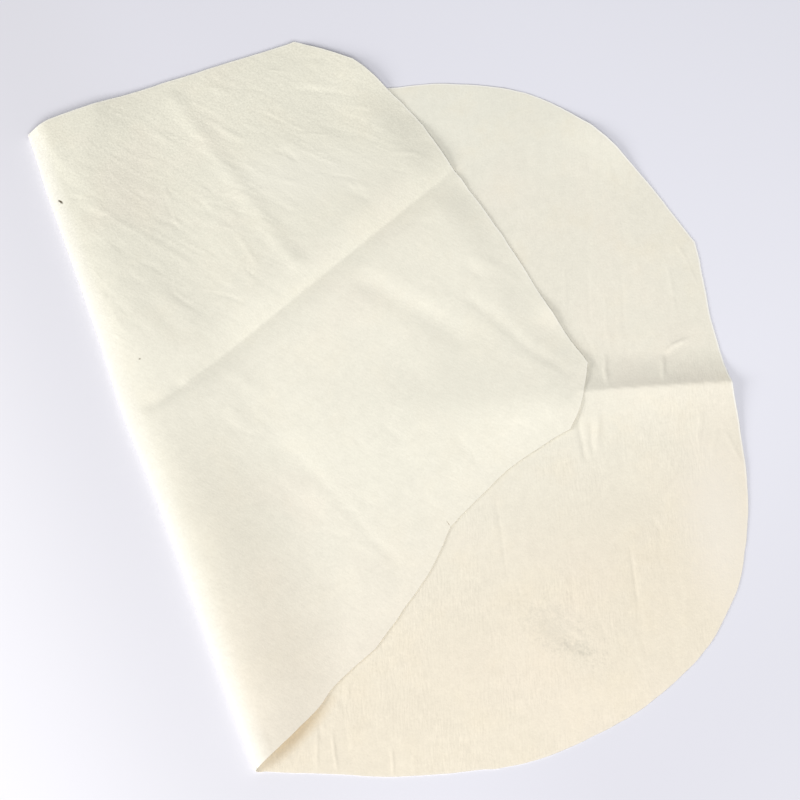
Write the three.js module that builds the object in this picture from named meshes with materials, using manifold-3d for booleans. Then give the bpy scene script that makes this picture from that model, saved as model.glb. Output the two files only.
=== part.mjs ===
// A drying leather for cars: one natural chamois skin, folded over once and laid flat.
// Millimetres, +Z up, +Y along the fold, +X from the fold towards the skin's free edges.
// The skin is a single piece of leather. Each mesh is a zone of it, parted from the next zone
// by a narrow slit along the line where the skin bends.

import * as THREE from 'three';
import { mergeVertices } from 'three/addons/utils/BufferGeometryUtils.js';
import Module from 'manifold-3d';

const wasm = await Module();
wasm.setup();

// The leather
const FOLD_LENGTH = 494; // along the fold, from cut edge to cut edge
const BASE_WIDTH = 416; // from the roll to the furthest point of the half on the table
const FLAP_WIDTH = 286; // from the roll to the tip of the flap
const THICKNESS = 1.0;
const LAYER_GAP = 0.4; // air between the flap and the half that it lies on
const SLIT = 0.3; // slit between two zones of the skin

// The roll where the skin is folded over, as strips from the base to the flap. Each strip turns
// by some degrees from the one before, and its share of the width is fitted to the roll's height.
const ROLL_HEIGHT = 8.5; // rise of the skin's middle surface from the base to the flap
const ROLL_STRIPS = [
  { turn: 35, share: 3.4 },
  { turn: 55, share: 3, hinged: true },
  { turn: 42, share: 3.6 },
  { turn: 28, share: 7, hinged: true },
  { turn: 15, share: 15 },
];
const HINGE_TRAVEL = 90; // degrees by which each of the two hinged lines can open
const FLAP_DIP = 9; // degrees by which the flap points down as it leaves the roll
const DIP_STEPS = 3; // straight runs by which the flap then levels out

// The old crease, one straight line across the opened skin: a ridge on the base and, on the flap
// that lies the other way up, a valley
const CREASE_Y = -1; // where it leaves the base for the roll
const CREASE_TILT = 19; // degrees from square across the fold
const BASE_RIDGE = { height: 6, halfWidth: 20, length: 400 }; // its height is reached at this length
const FLAP_VALLEY = { lift: 4, reach: 200 }; // the flap has lifted by this much at this distance

// The cut edge of each half, drawn as smooth runs of [x, y] points that meet at corners, and
// then fitted to the widths and the fold length above. The base counts x from the first line
// of the roll, and the flap from the last.
const EDGE_STEP = 13;
const BASE_EDGE = [
  [[0, 245], [69, 240], [140, 222], [205, 198], [263, 183], [305, 172], [355, 142], [388, 97],
    [405, 44], [413, -23]],
  [[413, -23], [409, -42], [401, -65], [393, -88], [383, -131]],
  [[383, -131], [370, -165], [356, -207], [328, -246], [307, -266], [255, -293], [222, -301],
    [181, -304], [148, -301], [119, -294], [77, -281], [38, -263], [0, -249]],
];
const FLAP_EDGE = [
  [[0, 249], [26, 251], [106, 252], [196, 250]],
  [[196, 250], [217, 236], [230, 217], [246, 180], [263, 102], [273, 33], [280, -46], [285, -80]],
  [[285, -80], [277, -92], [266, -107], [253, -119]],
  [[253, -119], [238, -121], [209, -127], [191, -133], [155, -148], [129, -171], [105, -187],
    [79, -204], [48, -214], [29, -225], [0, -237]],
];

const CUT_BLOCK = 1600; // side of the blocks that shape the panels, wider than the skin

const CHAMOIS = { color: 0xe9e5d4, roughness: 0.95, metalness: 0 };

const radians = THREE.MathUtils.degToRad;

// The roll's cross-section. The slit at a line leaves room for the corners of the leather on the
// inside of its sharpest bend.
const roll = rolled();
const flapTurn = 180 + FLAP_DIP - ROLL_STRIPS.reduce((sum, strip) => sum + strip.turn, 0);
const slits = [...ROLL_STRIPS, { turn: flapTurn }].map(slitAt);

function rolled() {
  let heading = 0;
  const headings = ROLL_STRIPS.map((strip) => {
    heading += radians(strip.turn);
    return heading;
  });
  const rise = headings.reduce((sum, angle, i) => sum + ROLL_STRIPS[i].share * Math.sin(angle), 0);
  const widths = ROLL_STRIPS.map((strip) => (strip.share * ROLL_HEIGHT) / rise);
  const length = widths.reduce((sum, width) => sum + width, 0);
  const reach = widths.reduce((sum, width, i) => sum - width * Math.cos(headings[i]), 0);
  return { widths, length, reach };
}

function slitAt({ turn, hinged }) {
  const sharpest = hinged ? Math.max(turn, HINGE_TRAVEL - turn) : turn;
  return SLIT + THICKNESS * Math.tan(radians(sharpest) / 2);
}

// The runs of a drawn edge as points, fitted to a width and to the length of the fold.
function fitted(runs, width) {
  const drawnWidth = Math.max(...runs.flat().map(([x]) => x));
  const drawnLength = BASE_EDGE.at(0).at(0)[1] - BASE_EDGE.at(-1).at(-1)[1];
  const fit = new THREE.Vector2(width / drawnWidth, FOLD_LENGTH / drawnLength);
  return runs.map((run) => run.map(([x, y]) => new THREE.Vector2(x, y).multiply(fit)));
}

// A closed outline, with a smooth curve through each run.
function outline(runs) {
  const points = [];
  for (const run of runs) {
    const curve = new THREE.SplineCurve(run);
    const steps = Math.ceil(curve.getLength() / EDGE_STEP);
    points.push(...curve.getSpacedPoints(steps).slice(0, -1));
  }
  points.push(runs.at(-1).at(-1));
  return points;
}

// The side of a line in plan, written as a point on it, the angle of its direction and the
// distance to keep from it. The side kept is to the left of the direction.
function leftOf(point, angle, distance) {
  const normal = new THREE.Vector2(-Math.sin(angle), Math.cos(angle));
  return { normal, least: normal.dot(point) + distance };
}

function clipped(points, side) {
  const depth = (point) => side.normal.dot(point) - side.least;
  const kept = [];
  points.forEach((point, i) => {
    const next = points[(i + 1) % points.length];
    const here = depth(point);
    const there = depth(next);
    if (here >= 0) kept.push(point);
    if (here * there < 0) kept.push(point.clone().lerp(next, here / (here - there)));
  });
  return kept;
}

// A plane z = a x + b y + c.
function plane(a, b, c) {
  return { a, b, c };
}

function sumOf(p, q) {
  return plane(p.a + q.a, p.b + q.b, p.c + q.c);
}

function solidOf(geometry) {
  geometry.deleteAttribute('normal');
  geometry.deleteAttribute('uv');
  const merged = mergeVertices(geometry);
  return new wasm.Manifold(new wasm.Mesh({
    numProp: 3,
    vertProperties: new Float32Array(merged.attributes.position.array),
    triVerts: new Uint32Array(merged.index.array),
  }));
}

function geometryOf(solid) {
  const { vertProperties, triVerts } = solid.getMesh();
  const geometry = new THREE.BufferGeometry();
  geometry.setAttribute('position', new THREE.BufferAttribute(vertProperties, 3));
  geometry.setIndex(new THREE.BufferAttribute(triVerts, 1));
  const faceted = geometry.toNonIndexed();
  faceted.computeVertexNormals();
  return faceted;
}

function extruded(points, depth) {
  return new THREE.ExtrudeGeometry(new THREE.Shape(points), { depth, bevelEnabled: false });
}

// Everything above the highest, or below the lowest, of some planes that are lifted alike.
function spaceBeside(planes, lift, side) {
  const up = new THREE.Vector3(0, 0, 1);
  const blocks = planes.map(({ a, b, c }) => {
    const normal = new THREE.Vector3(-a, -b, 1).normalize();
    const block = new THREE.BoxGeometry(CUT_BLOCK, CUT_BLOCK, CUT_BLOCK);
    block.translate(0, 0, (side * CUT_BLOCK) / 2);
    block.applyQuaternion(new THREE.Quaternion().setFromUnitVectors(up, normal));
    block.translate(0, 0, c + lift);
    return solidOf(block);
  });
  return blocks.reduce((space, block) => space.intersect(block));
}

// A panel of the skin over a plan outline, its underside on the highest of the planes.
function dishedPanel(points, planes) {
  const column = extruded(points, CUT_BLOCK / 4);
  const above = spaceBeside(planes, 0, 1);
  const clear = spaceBeside(planes, THICKNESS, 1);
  return geometryOf(solidOf(column).intersect(above).subtract(clear));
}

// A ridged panel, its underside on the lowest of the planes.
function tentedPanel(points, planes) {
  const column = extruded(points, CUT_BLOCK / 4);
  const below = spaceBeside(planes, THICKNESS, -1);
  const hollow = spaceBeside(planes, 0, -1);
  return geometryOf(solidOf(column).intersect(below).subtract(hollow));
}

function addZone(group, name, geometry) {
  const mesh = new THREE.Mesh(geometry, new THREE.MeshStandardMaterial(CHAMOIS));
  mesh.name = name;
  group.add(mesh);
}

// One slope of a ridge that starts at the fold and grows along its crest. The crest leaves the
// start at an angle, and side is 1 for the slope on the left of the crest, -1 on the right.
function ridgeSlope(ridge, start, angle, side) {
  const along = new THREE.Vector2(Math.cos(angle), Math.sin(angle));
  const across = new THREE.Vector2(-Math.sin(angle), Math.cos(angle)).multiplyScalar(side);
  const climb = ridge.height / ridge.length;
  const fall = ridge.height / ridge.halfWidth;
  const slope = along.multiplyScalar(climb).addScaledVector(across, -fall);
  return plane(slope.x, slope.y, -slope.dot(start));
}

// One side of a valley whose bottom lies at a level along the line from start.
function valleySlope(valley, start, angle, side, level) {
  const across = new THREE.Vector2(-Math.sin(angle), Math.cos(angle)).multiplyScalar(side);
  const slope = across.multiplyScalar(valley.lift / valley.reach);
  return plane(slope.x, slope.y, level - slope.dot(start));
}

const skin = new THREE.Group();
const baseEdge = fitted(BASE_EDGE, BASE_WIDTH);
const flapEdge = fitted(FLAP_EDGE, FLAP_WIDTH);
const baseCrest = radians(-CREASE_TILT);
const flapCrest = radians(CREASE_TILT);
const creaseOnBase = new THREE.Vector2(0, CREASE_Y);
const creaseOnFlap = new THREE.Vector2(0, CREASE_Y + roll.length * Math.tan(flapCrest));

// The part of a half's outline that lies clear of the roll.
function clearOfRoll(edge, slit) {
  return clipped(outline(edge), leftOf(new THREE.Vector2(0, 0), -Math.PI / 2, slit / 2));
}

// The base: two flat panels and the creased ridge that runs out between them.
function addBase() {
  const foot = Math.atan(BASE_RIDGE.halfWidth / BASE_RIDGE.length);
  const farFoot = baseCrest + foot;
  const nearFoot = baseCrest - foot;
  const half = clearOfRoll(baseEdge, slits.at(0));

  const farPanel = clipped(half, leftOf(creaseOnBase, farFoot, SLIT / 2));
  addZone(skin, 'base_far_panel', extruded(farPanel, THICKNESS));

  const nearPanel = clipped(half, leftOf(creaseOnBase, nearFoot + Math.PI, SLIT / 2));
  addZone(skin, 'base_near_panel', extruded(nearPanel, THICKNESS));

  let ridge = clipped(half, leftOf(creaseOnBase, farFoot + Math.PI, SLIT / 2));
  ridge = clipped(ridge, leftOf(creaseOnBase, nearFoot, SLIT / 2));
  const slopes = [1, -1].map((side) => ridgeSlope(BASE_RIDGE, creaseOnBase, baseCrest, side));
  addZone(skin, 'base_crease_ridge', tentedPanel(ridge, slopes));
}

// The roll: a chain of flat strips, each carried on the one before, that turns the skin over.
function addRoll() {
  const nearEnds = [baseEdge, flapEdge].map((runs) => runs.at(-1).at(-1).y);
  const farEnds = [baseEdge, flapEdge].map((runs) => runs.at(0).at(0).y);
  const endAt = (ends, s) => THREE.MathUtils.lerp(ends[0], ends[1], s / roll.length);
  let carrier = skin;
  let along = 0;
  ROLL_STRIPS.forEach(({ turn }, i) => {
    const line = new THREE.Group();
    line.name = `roll_line_${i + 1}`;
    line.rotation.y = radians(turn);
    if (i === 0) {
      line.rotation.y += Math.PI;
      line.position.z = THICKNESS / 2;
    } else {
      line.position.x = roll.widths[i - 1];
    }
    carrier.add(line);

    const from = slits[i] / 2;
    const to = roll.widths[i] - slits[i + 1] / 2;
    const strip = extruded([
      new THREE.Vector2(from, endAt(nearEnds, along + from)),
      new THREE.Vector2(to, endAt(nearEnds, along + to)),
      new THREE.Vector2(to, endAt(farEnds, along + to)),
      new THREE.Vector2(from, endAt(farEnds, along + from)),
    ], THICKNESS);
    strip.translate(0, 0, -THICKNESS / 2);
    addZone(line, `roll_strip_${i + 1}`, strip);

    carrier = line;
    along += roll.widths[i];
  });
}

// The flap's underside beside the roll: straight runs of equal length, each less steep, down to
// a level.
function dipPlanes(level) {
  const slopes = [];
  for (let i = 0; i < DIP_STEPS; i += 1) {
    slopes.push(Math.tan(radians(FLAP_DIP * (1 - i / DIP_STEPS))));
  }
  const run = (ROLL_HEIGHT - level) / slopes.reduce((sum, slope) => sum + slope, 0);
  const planes = [plane(0, 0, level)];
  let height = ROLL_HEIGHT;
  slopes.forEach((slope, i) => {
    planes.push(plane(-slope, 0, height + slope * run * i));
    height -= slope * run;
  });
  return planes;
}

// The flap: three panels that meet at its own crease and over the ridge of the base.
function addFlap() {
  const flap = new THREE.Group();
  flap.position.x = roll.reach;
  skin.add(flap);

  const overBase = new THREE.Vector2(-roll.reach, CREASE_Y);
  const half = clearOfRoll(flapEdge, slits.at(-1));
  const level = THICKNESS + LAYER_GAP;
  const dip = dipPlanes(level);
  const valleySide = (side) => valleySlope(FLAP_VALLEY, creaseOnFlap, flapCrest, side, level);
  const overRidge = (side) => {
    const slope = ridgeSlope(BASE_RIDGE, overBase, baseCrest, side);
    return dip.map((run) => sumOf(run, slope));
  };

  const farPanel = clipped(half, leftOf(creaseOnFlap, flapCrest, SLIT / 2));
  addZone(flap, 'flap_far_panel', dishedPanel(farPanel, [...dip, valleySide(1)]));

  let middlePanel = clipped(half, leftOf(creaseOnFlap, flapCrest + Math.PI, SLIT / 2));
  middlePanel = clipped(middlePanel, leftOf(overBase, baseCrest, SLIT / 2));
  const middlePlanes = [...dip, valleySide(-1), ...overRidge(1)];
  addZone(flap, 'flap_middle_panel', dishedPanel(middlePanel, middlePlanes));

  const nearPanel = clipped(half, leftOf(overBase, baseCrest + Math.PI, SLIT / 2));
  addZone(flap, 'flap_near_panel', dishedPanel(nearPanel, [...dip, ...overRidge(-1)]));
}

addBase();
addRoll();
addFlap();

// The origin is on the table, under the middle of the folded skin.
const box = new THREE.Box3().setFromObject(skin);
const centre = box.getCenter(new THREE.Vector3());
skin.position.set(-centre.x, -centre.y, -box.min.z);
skin.updateMatrixWorld(true);

export default skin;
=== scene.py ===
# The looks of a folded chamois drying leather.
# One skin is shown as two sheets that meet inside the rolled fold: skin_base lies on the table, and
# skin_flap is folded over it. Both are drawn on the opened skin, in millimetres: u runs across the
# fold, negative on the base and positive on the flap, and y runs along the fold. Each point of that
# drawing is then carried to its place in the folded skin.
import math

import bpy
import numpy as np
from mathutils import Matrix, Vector
from mathutils.geometry import delaunay_2d_cdt
from mathutils.kdtree import KDTree


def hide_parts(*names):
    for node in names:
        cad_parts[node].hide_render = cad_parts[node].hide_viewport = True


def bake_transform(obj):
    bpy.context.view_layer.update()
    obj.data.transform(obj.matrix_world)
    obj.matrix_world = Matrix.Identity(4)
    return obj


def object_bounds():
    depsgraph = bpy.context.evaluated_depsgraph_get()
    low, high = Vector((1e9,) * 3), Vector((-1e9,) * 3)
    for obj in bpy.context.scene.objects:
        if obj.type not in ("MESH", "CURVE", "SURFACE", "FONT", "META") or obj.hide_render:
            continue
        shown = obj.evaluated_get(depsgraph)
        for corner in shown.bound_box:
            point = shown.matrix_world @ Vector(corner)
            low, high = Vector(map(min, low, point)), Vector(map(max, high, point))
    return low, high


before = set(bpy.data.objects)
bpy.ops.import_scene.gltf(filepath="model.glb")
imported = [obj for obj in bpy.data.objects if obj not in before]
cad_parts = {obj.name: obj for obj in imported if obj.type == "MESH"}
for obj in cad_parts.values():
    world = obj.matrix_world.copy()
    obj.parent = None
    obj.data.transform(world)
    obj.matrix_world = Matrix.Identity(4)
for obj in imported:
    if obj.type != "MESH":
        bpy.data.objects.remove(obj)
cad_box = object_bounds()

MM = 0.001
THICKNESS = 1.0
CLEARANCE = 0.15  # air between the flap's underside and the base
HALF = THICKNESS / 2

# The cut edge of each half as smooth runs of [x, y] points that meet at corners. The base counts x
# from the first line of the roll, and the flap from the last.
BASE_WIDTH = 414.8
FLAP_WIDTH = 286
FIRST_LINE, LAST_LINE = 2.59, 18.505  # x of the roll's first and last lines, from the fold's outside
BASE_EDGE = [
    [(0, 245), (69, 240), (140, 222), (205, 198), (263, 183), (304, 169.7), (353.3, 140.2), (385, 95.5),
     (401.3, 43.2), (411.8, -23)],
    [(411.8, -23), (406.8, -41.4), (399.3, -64.4), (392.1, -87.8), (382.5, -131)],
    [(382.5, -131), (371.3, -165.5), (354.7, -206.3), (329, -246.8), (307.5, -267.5), (283, -284),
     (255.3, -294.5), (222.2, -302.5), (181, -304.8), (147.8, -302.5), (119, -294.5), (77, -280.7),
     (38, -263), (1.3, -245.8)],
]
FLAP_EDGE = [
    [(0, 249.6), (26, 250.3), (106, 250.8), (195, 248.7)],
    [(195, 248.7), (213.5, 232.6), (230.3, 215.4)],
    [(230.3, 215.4), (238.5, 200), (245.2, 181), (251.3, 163), (256, 143), (262, 102), (273, 33),
     (280, -46), (285, -80)],
    [(285, -80), (277, -92), (266, -107), (253, -119)],
    [(253, -119), (238, -121), (209, -127), (191, -133), (152.4, -149.5)],
    [(152.4, -149.5), (129, -171), (105, -187), (77.5, -204)],
    [(77.5, -204), (48, -214), (29, -225), (0, -237)],
]
MIDDLE_Y = -25.987  # middle of the drawing along the fold

# Heading of the skin round the fold, in degrees, at distances u: 0 runs on the table towards the
# fold, 90 goes straight up and 180 runs back over the base.
FOLD_HEADINGS = [(-1.5, 0), (0.8, 42), (2.5, 90), (3.9, 130), (5.5, 150), (8.5, 163), (12.3, 168.5),
                 (15.8, 172), (19.3, 175.5), (23.3, 179), (30, 183.5), (36, 186), (44, 187), (58, 187),
                 (70, 185.8), (80, 184.2), (90, 182.3), (102, 180)]
FOLD_SPAN = (-12, 118)
FOLD_STEP = 0.05
FOLD_ROUNDING = 1.2  # length over which the heading is averaged
SETTLE = {"rise": 0.5, "start": 80, "end": 130}  # the flap's last change of level beyond the roll
SEAM = 4.8  # u at which the two sheets meet, on the roll's middle body
# The fold is not quite straight: it bulges where the crease meets it, and draws in at its ends
BULGE = {"middle": 35, "reach": 45, "depth": 2.2}
ENDS_DRAWN_IN = {"all": 0.6, "far": (215, 265, 1.3), "near": (-170, -215, 0.6)}
SWAY_FADES = (25, 120)  # distances from the fold over which that dies away
FLAP_LEAVES_ROLL, BASE_LEAVES_ROLL = (7, 20), (3, 16)  # distances over which the relief sets in

# The old crease: a ridge on the base, the flap's soft hump over it, and a valley on the flap
BASE_CREASE = {"start": (-201.7, 25), "turn": -18.9}
FLAP_CREASE = {"start": (-185.8, 29), "turn": 20.1}
RIDGE = {"height": 5.0, "grows": (215, 350), "far": 29, "near": 38, "tail": 130, "rounding": 0.8,
         "offset": 0}
HUMP = {"height": 5.4, "grows": (120, 330), "far": 95, "near": 62, "tail": 62, "rounding": 10,
        "offset": -4.5}
HUMP_AT_EDGE = 0.68  # share of the hump that is left at the flap's cut edge
VALLEY = {"far": (4.8, 22), "near": (3.1, 19), "grows": (-10, 50), "reach": 58, "rounding": 0.7}

# Wrinkles in millimetres of the frame: path, height, width to the left, width to the right
FLAP_STROKES = [
    ([(-99, 271), (-93, 238), (-86, 209), (-80, 178), (-72, 142), (-67, 112), (-59, 84)], 0.75, 7, 6),
    ([(-182, 196), (-164, 169), (-143, 140), (-128, 118)], 0.21, 2.5, 2.5),
    ([(-130, 191), (-126, 179)], 0.24, 2, 2),
    ([(-112, 179), (-107, 166), (-103, 151)], -0.24, 2.2, 2.2),
    ([(-93, 135), (-90, 117), (-88, 98)], 0.27, 2.5, 2),
    ([(-163, 114), (-150, 91), (-140, 64)], 0.23, 6, 5),
    ([(-196, 131), (-184, 100), (-171, 69)], -0.17, 3, 3),
    ([(-172, 114), (-162, 89), (-154, 62)], -0.28, 7, 7),
    ([(-16, 236), (7, 225), (28, 212)], -0.18, 2.2, 2.2),
    ([(-12, 241), (22, 223)], 0.15, 2.5, 2.5),
    ([(-71, 263), (-58, 248)], 0.3, 3, 3),
    ([(-76, 226), (-57, 202)], 0.3, 2.5, 2.5),
    ([(-46, 193), (-36, 183), (-27, 170)], -0.27, 2.5, 2.5),
    ([(-38, 196), (-22, 185)], 0.18, 3, 3),
    ([(0, 141), (9, 129)], 0.21, 2.2, 2.2),
    ([(-11, 140), (9, 117)], -0.2, 2.5, 2.5),
    ([(-200, 264), (-195, 232), (-190, 205), (-182, 170)], -0.4, 6, 6),
    ([(-200, 28), (-182, 32), (-160, 41)], -0.9, 5, 5),
    ([(-26, 84), (-2, 54), (23, 18)], 0.2, 9, 8),
    ([(-27, 70), (-7, 41), (7, 22), (19, 3), (27, -14)], -0.7, 9, 10),
    ([(36, 29), (49, 4), (63, -31), (86, -65)], -0.42, 5, 4.5),
    ([(55, 56), (68, 38), (86, 12)], 0.28, 4, 4),
    ([(44, 52), (59, 29)], -0.3, 4, 4),
    ([(-117, -38), (-104, -63), (-95, -87), (-88, -110), (-76, -140), (-62, -166)], -0.26, 4, 5),
    ([(-126, -22), (-113, -46), (-104, -63)], -0.5, 10, 10),
    ([(-154, 15), (-140, -18)], -0.12, 3, 3),
    ([(-146, 17), (-131, -20)], 0.12, 3, 3),
    ([(-15, -59), (1, -100)], -0.19, 3.5, 3.5),
    ([(-48, -93), (-37, -121)], -0.17, 3, 3),
    ([(-139, 41), (-115, 6)], 0.24, 6, 5),
]
# Dents and swellings: centre, radius, height
FLAP_DENTS = [((-22, -16), 18, -0.6), ((-38, 16), 22, -0.35), ((-132, -94), 40, 0.5)]
# Where a cut edge stands up from what it lies on: centre, radius, height
FLAP_LIFTS = [((54, 257), 43, 4.5), ((92, -6), 13, 1.9), ((-168, 278), 46, 3.6), ((-118, 280), 40, 1.6),
              ((-60, 280), 45, 0.9), ((5, 280), 45, 0.4)]
BASE_STROKES = [
    ([(112, -49), (104, -62), (99, -76)], 0.75, 1.7, 1.7),
    ([(147, -67), (135, -86)], 0.8, 1.7, 1.7),
    ([(146, -68), (156, -64), (171, -63)], 0.65, 1.7, 1.7),
    ([(73, -78), (68, -98), (62, -122)], -0.5, 2, 2),
    ([(88, -86), (71, -116)], 0.5, 2, 2),
    ([(80, -88), (67, -119)], -0.36, 1.6, 1.6),
    ([(153, -112), (134, -139)], 0.4, 2, 2),
    ([(157, -127), (139, -148)], 0.35, 2, 2),
    ([(93, -161), (108, -154), (125, -145)], 0.28, 2.2, 2.2),
    ([(84, -164), (87, -178), (76, -197)], -0.17, 2, 2),
    ([(-2, -113), (-9, -139), (-19, -171)], -0.15, 1.3, 1.3),
    ([(65, -177), (54, -209), (41, -246)], -0.28, 1.3, 1.3),
    ([(195, 11), (196, -13), (193, -34)], 0.18, 1.6, 1.6),
    ([(197, 0), (196, -24), (192, -44)], -0.18, 1.6, 1.6),
    ([(182, -4), (176, -24), (167, -46)], 0.18, 1.6, 1.6),
    ([(-6, -205), (5, -221), (13, -236)], -0.3, 5, 5),
    ([(-4, -212), (3, -231)], -0.16, 2, 2),
    ([(2, -209), (11, -224)], 0.16, 2, 2),
    ([(0, -223), (10, -234)], -0.16, 2, 2),
    ([(25, -171), (17, -192), (10, -213)], -0.15, 1.8, 1.8),
    ([(-194, -230), (-190, -220), (-186, -210)], -0.5, 1, 1),
    ([(-182, -211), (-177, -199)], -0.45, 1, 1),
    ([(-175, -236), (-168, -218), (-163, -205)], 0.26, 1, 1),
    ([(-166, -240), (-163, -226), (-159, -212)], -0.5, 1, 1),
    ([(-163, -240), (-160, -226), (-156, -212)], 0.36, 1, 1),
    ([(-153, -228), (-149, -217), (-145, -207)], -0.34, 1, 1),
    ([(-147, -204), (-140, -191)], -0.5, 1, 1),
    ([(-143, -204), (-136, -191)], 0.3, 1, 1),
    ([(-136, -254), (-132, -245), (-129, -236)], -0.5, 1, 1),
    ([(-133, -255), (-126, -236)], 0.34, 1, 1),
    ([(-128, -255), (-112, -230)], 0.35, 6, 6),
    ([(-115, -260), (-99, -240)], -0.35, 6, 6),
    ([(-97, -266), (-85, -249)], 0.3, 6, 6),
    ([(130, 18), (108, -31)], -0.12, 1.6, 1.6),
    ([(115, 24), (96, -18)], 0.12, 1.6, 1.6),
    ([(131, -7), (114, -46)], 0.12, 1.6, 1.6),
    ([(150, 4), (127, -47)], -0.12, 1.6, 1.6),
]
BASE_LIFTS = [((202, 114), 34, 4.8), ((120, 178), 45, 0.8), ((30, 222), 45, 0.9)]
STROKE_REACH = 3  # widths beyond which a wrinkle is not felt
STROKE_FADES = {"length": 12, "share": 0.4}  # how it fades at its ends, and the most of it that may fade

# Short random wrinkles: count, corners of the rectangle they lie in, heading in degrees, length,
# height, width
FLAP_SCATTERED = [
    (140, [(-195, 80), (-60, 240)], -54, 30, 0.09, 1.7),
    (80, [(-80, 130), (50, 260)], -40, 30, 0.09, 1.7),
    (40, [(-160, -180), (70, 110)], -60, 44, 0.07, 2.8),
]
BASE_SCATTERED = [
    (90, [(70, -60), (200, 120)], 67, 34, 0.06, 1.7),
    (110, [(-20, -260), (190, -110)], 67, 36, 0.06, 1.7),
    (50, [(20, -275), (90, -225)], 67, 18, 0.10, 1.3),
    (70, [(-180, -270), (-60, -205)], 62, 26, 0.10, 1.3),
]
SCATTERED_TURN = 14  # degrees, as a spread about the heading
SCATTERED_BEND = 0.06  # share of the length, as a spread
SCATTERED_LENGTHS = (0.5, 1.3)
SCATTERED_WIDTHS = (0.7, 1.4)

# Soft waves of each half: height and size of a cell, for the broad ones and for the small ones
FLAP_WAVES = [(0.34, 52), (0.1, 19)]
BASE_WAVES = [(0.16, 62), (0.07, 19)]
SMALL_WAVES_PLACE = 500  # how far along the same random field the small ones are read
BASE_FLAT_RIM = 40  # width along the cut edge in which the base's waves die away
# Fine parallel wrinkles: heading in degrees, length, width
FLAP_CREPING = (-54, 30, 5.0)
BASE_CREPING = (67, 34, 4.5)
FLAP_CREPING_HEIGHTS = (0.015, 0.05)  # everywhere, and added in the far part
BASE_CREPING_HEIGHT = 0.02
CREPING_STRAYS = {"depth": 0.6, "cell": 6}  # in widths
CREPING_STRAYS_PLACE = (900, 300)
FAR_PART = {"slant": 0.36, "grows": (100, 160)}  # of the flap, beyond a slanting line
TABLE_SOFTNESS = 0.06  # how softly the base comes down on the table

# How the flap lies on the base
EDGE_SETTLES = 0.85  # share of its height that the flap loses at its cut edge
EDGE_REACH = 30
# Distances from the fold at which the flap begins to come free and is free, and the power of that rise
COMES_FREE = {"near": (4, 85, 0.6), "far": (60, 130, 1)}
# Its edge does not come down beside the crease's end, nor at the far corner
BESIDE_CREASE = {"share": 0.55, "rises": (98, 128), "falls": (158, 186)}
FAR_CORNER = (205, 235)
FLAP_SOFTNESS, CEILING_SOFTNESS = 0.25, 0.3
CEILING = 9.4  # a higher flap would dip into the table when it is turned over

SPACING = {"skin_base": 2.45, "skin_flap": 2.0}
FINE_SPACING = 0.6  # across the fold, in the roll
EDGE_SPACING = 1.6
CURVE_STEPS = 40  # between two drawn points of an edge
CREASED = 3.6  # wrinkles narrower than this get rows of points of their own
ROW_SPACING = 1.6
ROWS_BESIDE = (0.7, 1.6)  # where those rows lie beside the line, in widths of the wrinkle
FINE_ROLL = (-2, 13)  # u between which the columns of points are finest
COARSENING = 0.12  # growth of their spacing with the distance from there
COLUMN_RATIO = 0.87  # spacing of the columns over that of the points in them
EDGE_CLEAR = 0.55 * EDGE_SPACING  # how far the inner points keep from the outline
CELL = 0.7  # no two points of a sheet share a square of this side
EDGE_BULGE = 0.12
EDGE_PRESSED = 0.85  # share of its half thickness that the seen face loses where it was cut
EDGE_PRESSED_REACH = 3
EDGE_TILT = 0.15  # how much the edge of a face turns back towards that face
EDGE_WANDER = 0.25  # how far the knife strayed
WANDER_CELLS = (9, 4.5)
WANDER_SMALL = 0.25  # share of the smaller one
WANDER_SMALL_PLACE = 40
WANDER_FADES = 20
SEAM_TOLERANCE = 1e-3
FACE_OFFSET = 0.05  # third texture coordinate of the two faces, so that their grain differs
MAP_FACE = (0.5, 0.9)  # room of one face on the map for baking
MAP_MARGIN = 0.01
RIM_LENGTH = 0.9
RIM_ROW = 0.006  # height of one row of the rim on that map

SEEDS = {"wrinkles": 7, "flap": 11, "base": 23, "base_cut": 31, "flap_cut": 37}
rng = np.random.default_rng(SEEDS["wrinkles"])


def smooth(value, low, high):
    t = np.clip((value - low) / (high - low), 0, 1)
    return t * t * (3 - 2 * t)


def higher(a, b, softness):
    return 0.5 * (a + b + np.sqrt((a - b) ** 2 + softness**2))


def random_field(seed, cells=64):
    """A smooth random field from -1 to 1 over the plane, with cells of a size given at each call."""
    grid = np.random.default_rng(seed).uniform(-1, 1, (cells, cells))

    def value(x, y, cell):
        i, j = np.floor(x / cell).astype(int), np.floor(y / cell).astype(int)
        s, t = x / cell - i, y / cell - j
        s, t = (f * f * f * (f * (f * 6 - 15) + 10) for f in (s, t))
        corner = [[grid[(i + a) % cells, (j + b) % cells] for b in (0, 1)] for a in (0, 1)]
        near = corner[0][0] * (1 - s) + corner[1][0] * s
        far = corner[0][1] * (1 - s) + corner[1][1] * s
        return near * (1 - t) + far * t

    return value


# The fold's cross-section

def fold_section():
    u = np.arange(FOLD_SPAN[0], FOLD_SPAN[1], FOLD_STEP)
    knots, degrees = zip(*FOLD_HEADINGS)
    window = int(FOLD_ROUNDING / FOLD_STEP)
    padded = np.interp(np.arange(FOLD_SPAN[0] - FOLD_ROUNDING, FOLD_SPAN[1] + FOLD_ROUNDING, FOLD_STEP),
                       knots, degrees)
    heading = np.radians(np.convolve(padded, np.ones(window) / window, "same")[window:window + len(u)])
    x = np.cumsum(-np.cos(heading)) * FOLD_STEP
    z = np.cumsum(np.sin(heading)) * FOLD_STEP
    x += cad_box[0].x / MM + HALF - x.min()
    z += HALF - z[0]
    return u, x, z


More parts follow.
